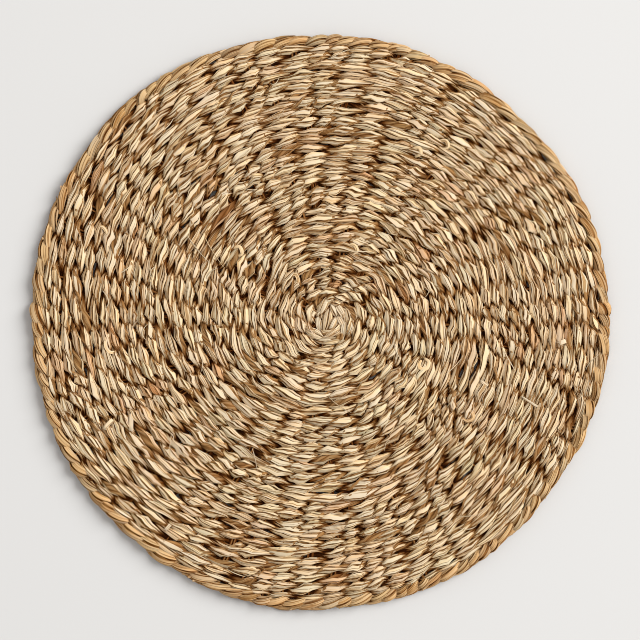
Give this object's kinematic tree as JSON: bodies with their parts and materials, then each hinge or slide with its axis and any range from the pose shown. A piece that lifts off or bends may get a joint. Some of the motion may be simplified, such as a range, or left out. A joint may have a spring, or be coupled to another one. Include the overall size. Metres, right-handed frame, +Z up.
{
  "type": "woven charger plate",
  "caption": "Round flat charger mat twined from dried sea grass in one spiral of ribbed rounds, with a looped rim, to set under a dinner plate.",
  "frame": {"origin": "on the surface that the mat lies on, under the middle of its outline", "axes": "+Z up out of the upper face, through the mat's thickness; X and Y in the plane of the mat"},
  "size_m": [0.3822, 0.3802, 0.0084],
  "materials": {
    "sea_grass": "dry twined sea grass, matt straw beige with paler, greener and browner blades and dark brown crevices"
  },
  "bodies": {
    "root": {"mat": "sea_grass"}
  },
  "joints": []
}
